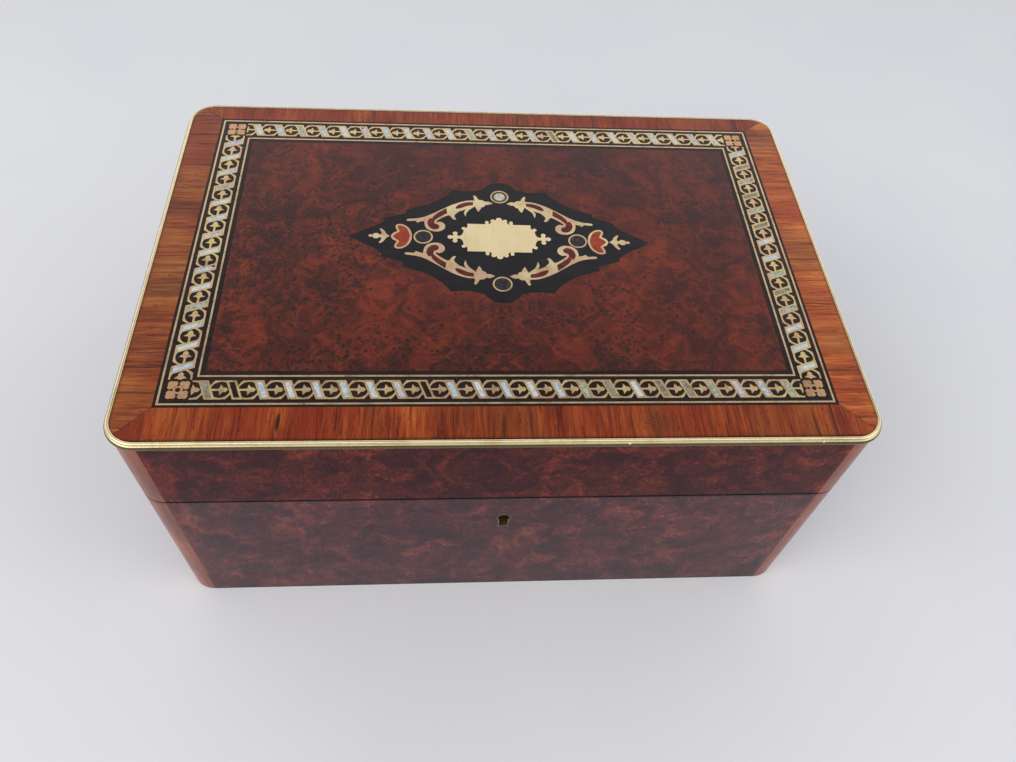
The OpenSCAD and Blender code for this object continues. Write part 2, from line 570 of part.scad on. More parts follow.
// ------------------------------------------------------------ lid lining
module lid_pad() cloth() box(-iw, -id, lid_in - 5, iw, id, lid_in);
module lid_wall_linings() cloth() {
  t = 1.5; z0 = lid_bot + 3; z1 = lid_in - 5;
  box(-iw, id - t, z0, iw, id, z1);
  box(-iw, -id, z0, iw, -id + t, z1);
  box(-iw, -id + t, z0, -iw + t, id - t, z1);
  box(iw - t, -id + t, z0, iw, id - t, z1);
}

base_front_board();
base_back_board();
base_left_board();
base_right_board();
base_bottom_board();
base_front_veneer();
base_back_veneer();
base_end_veneers();
base_corner_veneers();
keyhole_lining();
lock_plate();
lock_selvedge();
lock_case_rim();
lock_cap();
lock_drill_pin();
lock_spring();
base_screws();
hinge_base_leaves();
hinge_pins();
base_floor_pad();
base_wall_linings();
lock_bolt();
lid_front_rail();
lid_back_rail();
lid_left_rail();
lid_right_rail();
lid_top_board();
lid_front_veneer();
lid_back_veneer();
lid_end_veneers();
lid_corner_veneers();
band_front();
band_back();
band_left();
band_right();
border_ground();
border_lines();
fret_front();
fret_back();
fret_ends();
pearl_bars();
corner_flowers();
field_left();
field_right();
panel_ground();
name_plate();
scrolls();
red_inlays();
palmettes();
finials();
roundel_rings();
roundel_discs();
edge_straights();
edge_bends();
link_plate();
lid_screws();
hinge_lid_leaves();
lid_pad();
lid_wall_linings();
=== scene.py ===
import bpy, bmesh, math, random
from mathutils import Vector, Matrix, noise as mnoise


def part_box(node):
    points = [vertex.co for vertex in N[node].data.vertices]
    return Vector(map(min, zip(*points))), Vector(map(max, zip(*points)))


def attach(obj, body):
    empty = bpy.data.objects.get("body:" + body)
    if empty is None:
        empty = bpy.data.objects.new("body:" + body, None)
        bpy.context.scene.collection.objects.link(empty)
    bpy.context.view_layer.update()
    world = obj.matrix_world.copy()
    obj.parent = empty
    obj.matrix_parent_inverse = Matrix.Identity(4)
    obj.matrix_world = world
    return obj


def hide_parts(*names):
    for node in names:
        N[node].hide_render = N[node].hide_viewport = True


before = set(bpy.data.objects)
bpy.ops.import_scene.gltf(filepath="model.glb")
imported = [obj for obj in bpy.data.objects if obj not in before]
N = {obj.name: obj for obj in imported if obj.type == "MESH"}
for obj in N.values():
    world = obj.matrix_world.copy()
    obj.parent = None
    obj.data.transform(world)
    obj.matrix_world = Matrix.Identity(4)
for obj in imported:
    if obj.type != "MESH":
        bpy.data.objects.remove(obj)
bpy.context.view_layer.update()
MM = 0.001
scene = bpy.context.scene
scene.view_settings.view_transform = "Standard"

# ---------------------------------------------------------------- camera
cam = bpy.data.objects.new("camera", bpy.data.cameras.new("camera"))
scene.collection.objects.link(cam)
cam.location = (-0.0259, -0.2627, 0.3997)
cam.rotation_euler = [math.radians(a) for a in (35.97, -3.76, -2.87)]
cam.data.sensor_fit = "HORIZONTAL"
cam.data.sensor_width = 36
cam.data.lens = 28.94
cam.data.clip_start, cam.data.clip_end = 0.005, 50
scene.camera = cam


# ---------------------------------------------------------------- node helpers
def lin(r, g, b):
    f = lambda c: c / 12.92 if c <= 0.04045 else ((c + 0.055) / 1.055) ** 2.4
    return (f(r / 255), f(g / 255), f(b / 255), 1.0)


class Mat:
    def __init__(s, name, metallic=0.0, spec=0.5, coat=0.0, coat_rough=0.1, sheen=0.0, ior=1.5):
        s.m = bpy.data.materials.new(name)
        s.m.use_nodes = True
        s.t = s.m.node_tree
        s.t.nodes.clear()
        s.out = s.t.nodes.new("ShaderNodeOutputMaterial")
        s.b = s.t.nodes.new("ShaderNodeBsdfPrincipled")
        s.t.links.new(s.b.outputs[0], s.out.inputs[0])
        s.b.inputs["Metallic"].default_value = metallic
        s.b.inputs["Specular IOR Level"].default_value = spec
        s.b.inputs["IOR"].default_value = ior
        s.b.inputs["Coat Weight"].default_value = coat
        s.b.inputs["Coat Roughness"].default_value = coat_rough
        s.b.inputs["Sheen Weight"].default_value = sheen
        if sheen:
            s.b.inputs["Sheen Roughness"].default_value = 0.4
        s._p = None

    def put(s, node, key, v):
        if v is None:
            return
        i = node.inputs[key]
        if isinstance(v, bpy.types.NodeSocket):
            s.t.links.new(v, i)
        elif isinstance(v, (tuple, list)) and len(v) == 3 and i.type == "RGBA":
            i.default_value = (*v, 1)
        else:
            i.default_value = v

    @property
    def pos(s):
        if s._p is None:
            s._p = s.t.nodes.new("ShaderNodeTexCoord").outputs["Object"]
        return s._p

    def math(s, op, a, b=None, c=None, clamp=False):
        n = s.t.nodes.new("ShaderNodeMath")
        n.operation = op
        n.use_clamp = clamp
        for i, v in enumerate((a, b, c)):
            s.put(n, i, v)
        return n.outputs[0]

    def vec(s, op, a, b=None, scale=None):
        n = s.t.nodes.new("ShaderNodeVectorMath")
        n.operation = op
        s.put(n, 0, a)
        s.put(n, 1, b)
        if scale is not None:
            s.put(n, "Scale", scale)
        return n.outputs["Value" if op in ("LENGTH", "DISTANCE", "DOT_PRODUCT") else "Vector"]

    def sep(s, v):
        n = s.t.nodes.new("ShaderNodeSeparateXYZ")
        s.put(n, 0, v)
        return n.outputs

    def comb(s, x, y, z):
        n = s.t.nodes.new("ShaderNodeCombineXYZ")
        for i, v in enumerate((x, y, z)):
            s.put(n, i, v)
        return n.outputs[0]

    def mapping(s, v, scale=(1, 1, 1), rot=(0, 0, 0), loc=(0, 0, 0)):
        n = s.t.nodes.new("ShaderNodeMapping")
        s.put(n, "Vector", v)
        n.inputs["Scale"].default_value = scale
        n.inputs["Rotation"].default_value = [math.radians(a) for a in rot]
        n.inputs["Location"].default_value = loc
        return n.outputs[0]

    def noise(s, v, scale, detail=4, rough=0.5, dist=0.0, color=False):
        n = s.t.nodes.new("ShaderNodeTexNoise")
        s.put(n, "Vector", v)
        s.put(n, "Scale", scale)
        n.inputs["Detail"].default_value = detail
        n.inputs["Roughness"].default_value = rough
        n.inputs["Distortion"].default_value = dist
        return n.outputs["Color" if color else 0]

    def voronoi(s, v, scale, feature="F1", rand=1.0, smooth=None, metric=None):
        n = s.t.nodes.new("ShaderNodeTexVoronoi")
        n.feature = feature
        if metric:
            n.distance = metric
        s.put(n, "Vector", v)
        n.inputs["Scale"].default_value = scale
        n.inputs["Randomness"].default_value = rand
        if smooth is not None:
            n.inputs["Smoothness"].default_value = smooth
        return n.outputs

    def wave(s, v, scale, dist=0.0, detail=2, dscale=1.0, direction="X"):
        n = s.t.nodes.new("ShaderNodeTexWave")
        n.bands_direction = direction
        s.put(n, "Vector", v)
        for k, x in (("Scale", scale), ("Distortion", dist), ("Detail", detail), ("Detail Scale", dscale)):
            n.inputs[k].default_value = x
        return n.outputs[1]

    def mr(s, v, a, b, c=0.0, d=1.0, smooth=False):
        n = s.t.nodes.new("ShaderNodeMapRange")
        n.interpolation_type = "SMOOTHSTEP" if smooth else "LINEAR"
        n.clamp = True
        for i, x in enumerate((v, a, b, c, d)):
            s.put(n, i, x)
        return n.outputs[0]

    def ramp(s, f, stops, mode="LINEAR"):
        n = s.t.nodes.new("ShaderNodeValToRGB")
        n.color_ramp.interpolation = mode
        els = n.color_ramp.elements
        while len(els) < len(stops):
            els.new(0.5)
        for e, (p, c) in zip(els, stops):
            e.position = p
            e.color = c
        s.put(n, 0, f)
        return n.outputs[0]

    def mix(s, f, a, b, blend="MIX"):
        n = s.t.nodes.new("ShaderNodeMix")
        n.data_type = "RGBA"
        n.blend_type = blend
        n.clamp_factor = True
        s.put(n, 0, f)
        s.put(n, 6, a)
        s.put(n, 7, b)
        return n.outputs[2]

    def bump(s, h, dist, strength=1.0, normal=None):
        n = s.t.nodes.new("ShaderNodeBump")
        n.inputs["Strength"].default_value = strength
        n.inputs["Distance"].default_value = dist
        s.put(n, "Height", h)
        s.put(n, "Normal", normal)
        return n.outputs[0]

    def warp(s, v, scale, amount, detail=2):
        c = s.noise(v, scale, detail, 0.5, color=True)
        d = s.vec("SUBTRACT", c, (0.5, 0.5, 0.5))
        return s.vec("ADD", v, s.vec("SCALE", d, scale=amount))

    def spot(s, v, at, size, turn=0.0, soft=0.35):
        """1 inside an ellipse at a place on the XY plane, in metres, fading out at its rim."""
        q = s.vec("SUBTRACT", v, (at[0], at[1], 0))
        if turn:
            q = s.mapping(q, rot=(0, 0, turn))
        x, y, _ = s.sep(q)
        r = s.vec("LENGTH", s.comb(s.math("DIVIDE", x, size[0]), s.math("DIVIDE", y, size[1]), 0.0))
        return s.mr(r, 1.0 - soft, 1.0 + soft, 1.0, 0.0, True)

    def finish(s, color, rough, normal=None, gain=None):
        if gain:
            color = s.mix(1.0, color, (*gain, 1.0), "MULTIPLY")
        s.put(s.b, "Base Color", color)
        s.put(s.b, "Roughness", rough)
        s.put(s.b, "Normal", normal)
        return s.m


# ---------------------------------------------------------------- woods
FIELD_GAIN = (0.62, 0.50, 0.38)


def field_burl():
    """Thuya burl, red-brown with clusters of small dark eyes, the two halves opened like a book."""
    M = Mat("field_burl", spec=0.3)
    x, y, z = M.sep(M.pos)
    q = M.comb(M.math("ABSOLUTE", x), y, 0.0)
    far = M.comb(x, y, 0.37)
    qw = M.warp(q, 55, 0.012)
    big = M.mr(M.noise(qw, 24, 3, 0.55), 0.36, 0.64)
    mid = M.mr(M.noise(qw, 110, 5, 0.62, 1.2), 0.35, 0.65)
    fine = M.noise(q, 700, 4, 0.65, 0.5)
    tone = M.math("ADD", M.math("MULTIPLY", big, 0.40), M.math("MULTIPLY", mid, 0.60))
    col = M.ramp(tone, [(0.0, lin(58, 24, 20)), (0.32, lin(88, 34, 23)), (0.6, lin(124, 48, 27)), (1.0, lin(164, 70, 36))])
    # where the eyes crowd together
    lean = M.mr(M.math("ADD", x, M.math("MULTIPLY", y, 1.3)), -0.12, 0.12, 0.05, -0.05)
    cl = M.mr(M.math("ADD", M.noise(M.comb(x, y, 0.11), 42, 4, 0.65), lean), 0.42, 0.57, 0.0, 1.0, True)
    patch = M.mr(M.noise(M.warp(q, 120, 0.008), 190, 3, 0.55, 0.8), 0.47, 0.62)
    col = M.mix(M.math("MULTIPLY", M.math("MULTIPLY", patch, cl), 0.70), col, lin(50, 25, 22))
    # small dark eyes and curls
    qe = M.warp(q, 620, 0.0018, 3)
    v = M.voronoi(qe, 360)
    pick = M.math("LESS_THAN", M.sep(v["Color"])[0], M.math("ADD", M.math("MULTIPLY", cl, 0.66), 0.14))
    eye = M.math("MULTIPLY", M.mr(v["Distance"], 0.16, 0.44, 1.0, 0.0, True), pick)
    curl = M.math("MULTIPLY", M.mr(M.noise(qe, 430, 3, 0.55, 1.4), 0.53, 0.60, 0.0, 1.0, True), M.math("ADD", M.math("MULTIPLY", cl, 0.85), 0.14))
    ring = M.math("MULTIPLY", M.mr(M.math("ABSOLUTE", M.math("SUBTRACT", v["Distance"], 0.5)), 0.0, 0.10, 1.0, 0.0, True), pick)
    col = M.mix(M.math("MULTIPLY", ring, 0.22), col, lin(170, 80, 46))
    dark = M.math("MAXIMUM", eye, curl)
    col = M.mix(M.math("MULTIPLY", dark, 0.74), col, lin(34, 20, 17))
    # cooler towards the right and the back, warmer low in the middle
    cool = M.mr(M.math("ADD", M.noise(far, 9, 2, 0.5), M.math("MULTIPLY", M.math("ADD", x, y), 1.2)), 0.45, 0.75)
    col = M.mix(M.math("MULTIPLY", cool, 0.40), col, lin(84, 36, 38))
    col = M.mix(M.math("MULTIPLY", M.mr(fine, 0.35, 0.65), 0.25), col, lin(48, 22, 18))
    # book-match seam
    seam = M.mr(M.math("ABSOLUTE", x), 0.0, 0.00018, 0.45, 0.0)
    col = M.mix(seam, col, lin(30, 14, 12))
    rough = M.mr(M.noise(q, 300, 4, 0.6), 0.3, 0.7, 0.26, 0.38)
    h = M.math("SUBTRACT", M.math("MULTIPLY", fine, 0.4), M.math("MULTIPLY", dark, 0.5))
    return M.finish(col, rough, M.bump(h, 0.00006, 0.7), FIELD_GAIN)


def side_burl(name, spec, gain):
    """Burl of the sides: soft red-brown flames over dark purple-brown, under a gloss polish."""
    M = Mat(name, spec=spec)
    x, y, z = M.sep(M.pos)
    blot = M.noise(M.warp(M.pos, 40, 0.020, 2), 75, 3, 0.5, 0.8)
    lick = M.noise(M.mapping(M.warp(M.pos, 110, 0.012, 3), scale=(1.3, 1.3, 0.9), rot=(0, 32, 0)), 210, 5, 0.66, 2.2)
    fuzz = M.noise(M.mapping(M.pos, scale=(1.6, 1.6, 1.0), rot=(0, 40, 0)), 700, 4, 0.7, 0.8)
    tone = M.math("ADD", M.math("ADD", M.math("MULTIPLY", blot, 0.40), M.math("MULTIPLY", lick, 0.42)), M.math("MULTIPLY", fuzz, 0.18))
    col = M.ramp(tone, [(0.42, lin(50, 20, 25)), (0.465, lin(62, 24, 28)), (0.51, lin(80, 31, 31)), (0.555, lin(103, 41, 34)), (0.62, lin(142, 62, 41))])
    v = M.voronoi(M.warp(M.pos, 500, 0.002, 3), 300)
    pick = M.math("LESS_THAN", M.sep(v["Color"])[0], M.mr(M.noise(M.pos, 28, 3), 0.42, 0.62, 0.0, 0.35))
    eye = M.math("MULTIPLY", M.mr(v["Distance"], 0.14, 0.34, 1.0, 0.0, True), pick)
    col = M.mix(M.math("MULTIPLY", eye, 0.4), col, lin(40, 20, 22))
    fine = M.noise(M.pos, 900, 4, 0.65)
    col = M.mix(M.math("MULTIPLY", M.mr(fine, 0.4, 0.66), 0.22), col, lin(44, 22, 24))
    # darker along the seam and the foot: painted shade of the seam gap, which widens to the right, and of the foot,
    # over some edge wear
    edge = M.math("MINIMUM", M.math("ABSOLUTE", M.math("SUBTRACT", z, 0.0916)), z)
    gap_and_foot_shade = M.math("SUBTRACT", edge, M.mr(x, -0.14, 0.14, 0.0004, 0.0012))
    col = M.mix(M.mr(gap_and_foot_shade, 0.0, 0.0006, 0.82, 0.0), col, lin(26, 13, 13))
    # the front fades to the lighter wood of the round corners
    ends = M.math("MULTIPLY", M.mr(M.math("ABSOLUTE", x), 0.1350, 0.1388, 0.0, 0.22, True), M.math("LESS_THAN", 0.0985, M.math("ABSOLUTE", y)))
    col = M.mix(ends, col, lin(150, 66, 46))
    rough = M.mr(M.noise(M.pos, 160, 4, 0.6), 0.3, 0.7, 0.24, 0.36)
    return M.finish(col, rough, M.bump(M.math("SUBTRACT", fine, M.math("MULTIPLY", eye, 0.6)), 0.00005, 0.6), gain)


def corner_burl():
    """Plain straight-grained veneer bent round the upright corners, lighter than the faces."""
    M = Mat("corner_burl", spec=0.5)
    x, y, z = M.sep(M.pos)
    g = M.noise(M.comb(M.math("MULTIPLY", x, 14.0), M.math("MULTIPLY", y, 14.0), z), 30, 5, 0.6, 0.4)
    blot = M.noise(M.warp(M.pos, 60, 0.01), 34, 3, 0.55)
    tone = M.math("ADD", M.math("MULTIPLY", g, 0.45), M.math("MULTIPLY", blot, 0.55))
    col = M.ramp(tone, [(0.36, lin(104, 50, 34)), (0.5, lin(140, 72, 48)), (0.64, lin(168, 94, 64))])
    fine = M.noise(M.comb(M.math("MULTIPLY", x, 3.0), M.math("MULTIPLY", y, 3.0), z), 500, 3, 0.6)
    col = M.mix(M.math("MULTIPLY", M.mr(fine, 0.5, 0.7), 0.35), col, lin(84, 42, 30))
    # darker near the seam and the foot: painted shade of the seam gap and of the foot, over some edge wear
    edge = M.math("MINIMUM", M.math("ABSOLUTE", M.math("SUBTRACT", z, 0.0916)), z)
    col = M.mix(M.mr(edge, 0.0004, 0.0022, 0.5, 0.0), col, lin(56, 28, 22))
    # darker where the strip turns to meet the front and the back
    turn = M.mr(M.math("ABSOLUTE", y), 0.0965, 0.1010, 0.0, 0.42, True)
    col = M.mix(turn, col, lin(80, 36, 34))
    rough = M.mr(M.noise(M.pos, 160, 4, 0.6), 0.3, 0.7, 0.26, 0.38)
    return M.finish(col, rough, M.bump(fine, 0.00005, 0.5), (1.40, 1.14, 0.86))


def crossband(name, across, gain):
    """Tulipwood banding with its grain across the strip: fine streaks, pores and a few dark flecks."""
    M = Mat(name, spec=0.28)
    x, y, z = M.sep(M.pos)
    a, b = (x, y) if across == "x" else (y, x)  # a runs along the strip, b along the grain
    wob = M.math("MULTIPLY", M.math("SUBTRACT", M.noise(M.comb(a, b, 0.2), 60, 2, 0.5), 0.5), 0.0010)
    aw = M.math("ADD", a, wob)
    wide = M.noise(M.comb(aw, M.math("MULTIPLY", b, 0.14), 0.1), 110, 3, 0.55)
    streak = M.noise(M.comb(aw, M.math("MULTIPLY", b, 0.05), 0.3), 800, 5, 0.66)
    hair = M.noise(M.comb(aw, M.math("MULTIPLY", b, 0.04), 0.5), 2400, 3, 0.7)
    patch = M.noise(M.comb(a, b, 0.7), 30, 3, 0.5)
    tone = M.math("ADD", M.math("ADD", M.math("ADD", M.math("MULTIPLY", wide, 0.26), M.math("MULTIPLY", streak, 0.32)), M.math("MULTIPLY", patch, 0.18)), M.math("MULTIPLY", hair, 0.24))
    col = M.ramp(tone, [(0.40, lin(92, 32, 16)), (0.46, lin(134, 53, 24)), (0.51, lin(164, 76, 34)), (0.56, lin(186, 100, 46)), (0.63, lin(206, 126, 64))])
    # reddish and olive zones
    zone = M.noise(M.comb(a, M.math("MULTIPLY", b, 0.3), 0.9), 34, 2, 0.5)
    col = M.mix(M.mr(zone, 0.50, 0.64, 0.0, 0.6), col, lin(140, 44, 22))
    col = M.mix(M.mr(zone, 0.47, 0.36, 0.0, 0.35), col, lin(122, 80, 42))
    # pores: short dark dashes along the grain
    pv = M.voronoi(M.comb(aw, M.math("MULTIPLY", b, 0.20), 0.0), 1100)
    pore = M.math("MULTIPLY", M.mr(pv["Distance"], 0.10, 0.30, 1.0, 0.0, True), M.math("LESS_THAN", M.sep(pv["Color"])[0], 0.34))
    line = M.mr(M.noise(M.comb(aw, M.math("MULTIPLY", b, 0.03), 0.6), 420, 3, 0.7), 0.58, 0.64)
    dark = M.math("MAXIMUM", M.math("MULTIPLY", pore, 0.75), M.math("MULTIPLY", line, 0.62))
    if across == "x":
        # dark slit, split lines and a speckled knot in the front strip
        for at, size, k in (((-0.0868, -0.0915), (0.0008, 0.0042), 0.9), ((-0.0655, -0.0905), (0.0004, 0.0060), 0.6),
                            ((-0.0632, -0.0940), (0.0004, 0.0045), 0.5), ((0.0085, -0.0920), (0.0003, 0.0070), 0.6)):
            dark = M.math("MAXIMUM", dark, M.math("MULTIPLY", M.spot(M.comb(aw, b, 0.0), at, size), k))
        knot = M.spot(M.warp(M.comb(a, b, 0.0), 150, 0.006), (0.0585, -0.0915), (0.0065, 0.0068), 0, 0.5)
        pep = M.voronoi(M.warp(M.comb(a, b, 0.4), 500, 0.002), 800)
        pepper = M.math("MULTIPLY", M.mr(pep["Distance"], 0.15, 0.4, 1.0, 0.0, True), M.math("LESS_THAN", M.sep(pep["Color"])[1], 0.5))
        col = M.mix(M.math("MULTIPLY", knot, 0.5), col, lin(100, 58, 34))
        dark = M.math("MAXIMUM", dark, M.math("MULTIPLY", M.math("MULTIPLY", knot, pepper), 0.8))
    # mitre joints run out to the corners, and the wood is darker along the brass edge: dirt, with painted shade of the
    # join
    ax_, by_ = M.math("ABSOLUTE", x), M.math("SUBTRACT", M.math("ABSOLUTE", M.math("SUBTRACT", y, 0.0025)), 0.0)
    u = M.math("SUBTRACT", ax_, 0.13435)
    v = M.math("SUBTRACT", by_, 0.08735)
    front = M.math("LESS_THAN", y, 0.0)
    run = M.math("ADD", M.math("MULTIPLY", front, 1.0284 - 0.7450), 0.7450)
    mitre = M.math("ABSOLUTE", M.math("SUBTRACT", v, M.math("MULTIPLY", u, run)))
    dark = M.math("MAXIMUM", dark, M.mr(mitre, 0.00010, 0.00034, 0.85, 0.0))
    # painted shade with dirt in a strip along the brass edge
    join_dirt_and_shade = M.mr(M.math("SUBTRACT", 0.1485 if across == "y" else 0.0995, M.math("ABSOLUTE", b)), 0.0, 0.0012, 0.6, 0.0)
    if across == "y":
        left = M.math("LESS_THAN", x, 0.0)
        col = M.mix(left, col, (0.68, 0.76, 0.84, 1.0), "MULTIPLY")
    col = M.mix(dark, col, lin(34, 16, 11))
    col = M.mix(join_dirt_and_shade, col, lin(52, 24, 14))
    rough = M.mr(streak, 0.3, 0.7, 0.26, 0.40)
    h = M.math("SUBTRACT", M.math("MULTIPLY", streak, 0.5), dark)
    return M.finish(col, rough, M.bump(h, 0.00006, 0.7), gain)


def carcass(name, along):
    """Plain brown carcass wood, grain along one axis."""
    M = Mat(name)
    p = M.warp(M.pos, 12, 0.006)
    sc = [1.0, 1.0, 1.0]
    sc["xyz".index(along)] = 0.06
    q = M.mapping(p, scale=tuple(sc))
    g = M.noise(q, 260, 5, 0.6, 0.3)
    w = M.noise(q, 60, 3, 0.5)
    tone = M.math("ADD", M.math("MULTIPLY", g, 0.6), M.math("MULTIPLY", w, 0.4))
    col = M.ramp(tone, [(0.36, lin(72, 40, 24)), (0.5, lin(104, 62, 38)), (0.64, lin(132, 84, 54))])
    pv = M.voronoi(q, 700)
    pore = M.math("MULTIPLY", M.mr(pv["Distance"], 0.1, 0.25, 1.0, 0.0), M.math("LESS_THAN", M.sep(pv["Color"])[0], 0.3))
    col = M.mix(M.math("MULTIPLY", pore, 0.6), col, lin(44, 24, 15))
    return M.finish(col, M.mr(g, 0.3, 0.7, 0.42, 0.58), M.bump(M.math("SUBTRACT", g, pore), 0.00008, 0.6))


def ebony(name, spec, gain):
    M = Mat(name, spec=spec)
    q = M.mapping(M.warp(M.pos, 30, 0.004), scale=(0.07, 1, 1))
    g = M.noise(q, 520, 4, 0.6)
    cloud = M.noise(M.pos, 40, 3, 0.55)
    col = M.ramp(M.math("ADD", M.math("MULTIPLY", g, 0.6), M.math("MULTIPLY", cloud, 0.4)),
                 [(0.36, lin(14, 12, 13)), (0.52, lin(24, 20, 21)), (0.68, lin(42, 32, 29))])
    speck = M.noise(M.pos, 1400, 3, 0.6)
    col = M.mix(M.mr(speck, 0.64, 0.72, 0.0, 0.4), col, lin(74, 60, 50))
    return M.finish(col, M.mr(cloud, 0.3, 0.7, 0.24, 0.36), M.bump(M.math("ADD", g, speck), 0.00004, 0.5), gain)


def red_veneer():
    """Stained red-brown leaves; the two hearts are more orange."""
    M = Mat("red_veneer", spec=0.3)
    x, y, z = M.sep(M.pos)
    g = M.noise(M.mapping(M.warp(M.pos, 90, 0.003), scale=(0.2, 1, 1), rot=(0, 0, 35)), 700, 4, 0.6)
    cloud = M.noise(M.pos, 150, 3, 0.55)
    tone = M.math("ADD", M.math("MULTIPLY", g, 0.5), M.math("MULTIPLY", cloud, 0.5))
    col = M.ramp(tone, [(0.36, lin(78, 24, 18)), (0.5, lin(112, 38, 24)), (0.64, lin(150, 62, 36))])
    out = M.mr(M.math("ABSOLUTE", M.math("SUBTRACT", x, 0.0017)), 0.037, 0.040)
    heart = M.ramp(tone, [(0.36, lin(128, 42, 20)), (0.5, lin(172, 66, 30)), (0.64, lin(196, 92, 46))])
    col = M.mix(out, col, heart)
    return M.finish(col, M.mr(cloud, 0.3, 0.7, 0.26, 0.40), M.bump(g, 0.00004, 0.5), (0.58, 0.42, 0.27))


# ---------------------------------------------------------------- metals
def brass(name, light, mid, dark, rough=(0.22, 0.36), scale=1.0, tarnish=0.35, along=None, coppery=0.0, bump=0.00003, lower_half_shade=None):
    """Brass with cloudy tone, fine scratches and brown tarnish in spots."""
    M = Mat(name, metallic=1.0)
    p = M.pos
    cloud = M.noise(M.warp(p, 120 * scale, 0.004), 90 * scale, 4, 0.6)
    micro = M.noise(p, 900 * scale, 4, 0.65)
    tone = M.math("ADD", M.math("MULTIPLY", cloud, 0.7), M.math("MULTIPLY", micro, 0.3))
    col = M.ramp(tone, [(0.36, mid), (0.50, light), (0.66, light)])
    if coppery:
        pink = M.mr(M.noise(p, 48, 2, 0.5), 0.44, 0.58, 0.0, coppery)
        col = M.mix(pink, col, lin(216, 168, 138))
    sp = M.noise(M.warp(p, 700 * scale, 0.001), 420 * scale, 4, 0.7)
    t = M.mr(sp, 0.56, 0.70, 0.0, tarnish)
    col = M.mix(t, col, dark)
    sc = {"x": (0.03, 1, 1), "y": (1, 0.03, 1), "z": (1, 1, 0.03), None: (1, 0.4, 1)}[along]
    scr = M.noise(M.mapping(p, scale=sc), 1500, 3, 0.7)
    r = M.math("ADD", M.mr(tone, 0.35, 0.65, rough[0], rough[1]), M.math("MULTIPLY", t, 0.3))
    if lower_half_shade:
        # painted shade: the lower half of the moulding is darkened, standing in for the dim surroundings its lower face
        # turns to
        lo, hi, k = lower_half_shade
        col = M.mix(M.mr(M.sep(p)[2], lo, hi, k, 0.0, True), col, dark)
    return M.finish(col, r, M.bump(M.math("ADD", scr, M.math("MULTIPLY", micro, 0.6)), bump, 0.6))


def plate_brass():
    """Name plate: plain pale brass, brushed across, with a faint rubbed bloom."""
    M = Mat("plate_brass", metallic=1.0)
    p = M.pos
    br = M.noise(M.mapping(p, scale=(1, 0.04, 1)), 900, 4, 0.65)
    bloom = M.noise(p, 60, 3, 0.55)
    col = M.ramp(M.math("ADD", M.math("MULTIPLY", br, 0.45), M.math("MULTIPLY", bloom, 0.55)),
                 [(0.30, lin(240, 217, 164)), (0.52, lin(250, 229, 178)), (0.74, lin(254, 238, 194))])
    sp = M.mr(M.noise(p, 1300, 4, 0.7), 0.66, 0.76, 0.0, 0.25)
    col = M.mix(sp, col, lin(150, 122, 84))
    return M.finish(col, M.mr(br, 0.3, 0.7, 0.32, 0.40), M.bump(br, 0.00001, 0.4))


def steel():
    M = Mat("steel", metallic=1.0)
    c = M.noise(M.pos, 500, 4, 0.6)
    col = M.ramp(c, [(0.36, lin(96, 84, 74)), (0.5, lin(150, 146, 142)), (0.66, lin(182, 180, 176))])
    return M.finish(col, M.mr(c, 0.3, 0.7, 0.3, 0.5), M.bump(c, 0.00003, 0.6))


# ---------------------------------------------------------------- pearl, discs
def pearl(name, a, b, c, dull=0.0):
    """Mother-of-pearl: pale layers that drift between three tints, with fine growth lines."""
    M = Mat(name, coat=0.2, coat_rough=0.12, spec=0.4)
    p = M.warp(M.pos, 160, 0.004)
    drift = M.noise(p, 330, 3, 0.6, 1.5)
    lines = M.noise(M.mapping(p, scale=(1, 0.25, 1), rot=(0, 0, 28)), 1500, 3, 0.6)
    tone = M.math("ADD", M.math("MULTIPLY", drift, 0.75), M.math("MULTIPLY", lines, 0.25))
    col = M.ramp(tone, [(0.36, a), (0.48, b), (0.56, c), (0.68, b)])
    crack = M.mr(M.noise(M.mapping(M.pos, scale=(1, 0.3, 1), rot=(0, 0, 15)), 800, 4, 0.7), 0.64, 0.70, 0.0, 0.5 + dull)
    col = M.mix(crack, col, lin(92, 86, 78))
    return M.finish(col, M.mr(drift, 0.3, 0.7, 0.16, 0.34), M.bump(lines, 0.00004, 0.5), (0.62, 0.66, 0.66))


def disc_stone():
    """Dark mottled shell discs; the one nearest the back has a white pearl centre."""
    M = Mat("disc_stone", spec=0.3)
    p = M.pos
    v = M.voronoi(M.warp(p, 700, 0.001), 900)
    n = M.noise(p, 600, 4, 0.65, 1.0)
    col = M.ramp(M.math("ADD", M.math("MULTIPLY", n, 0.6), M.math("MULTIPLY", v["Distance"], 0.5)),
                 [(0.34, lin(18, 15, 15)), (0.55, lin(34, 29, 28)), (0.70, lin(56, 50, 46)), (0.84, lin(96, 90, 80))])
    x, y, z = M.sep(p)
    at = Vector((0.0, 0.02795, 0))
    at.rotate(Matrix.Rotation(math.radians(-1), 3, "Z"))
    at += Vector((0.0017, 0.0073, 0))
    r = M.vec("LENGTH", M.comb(M.math("SUBTRACT", x, at.x), M.math("SUBTRACT", y, at.y), 0.0))
    white = M.ramp(n, [(0.36, lin(150, 144, 136)), (0.5, lin(186, 182, 176)), (0.66, lin(206, 204, 200))])
    here = M.mr(r, 0.0040, 0.0046, 1.0, 0.0)
    col = M.mix(here, col, lin(40, 28, 22))
    col = M.mix(M.mr(r, 0.0027, 0.0029, 1.0, 0.0), col, lin(150, 128, 86))
    col = M.mix(M.mr(r, 0.0022, 0.0025, 1.0, 0.0), col, white)
    return M.finish(col, M.mr(n, 0.3, 0.7, 0.18, 0.34), M.bump(n, 0.00004, 0.5))


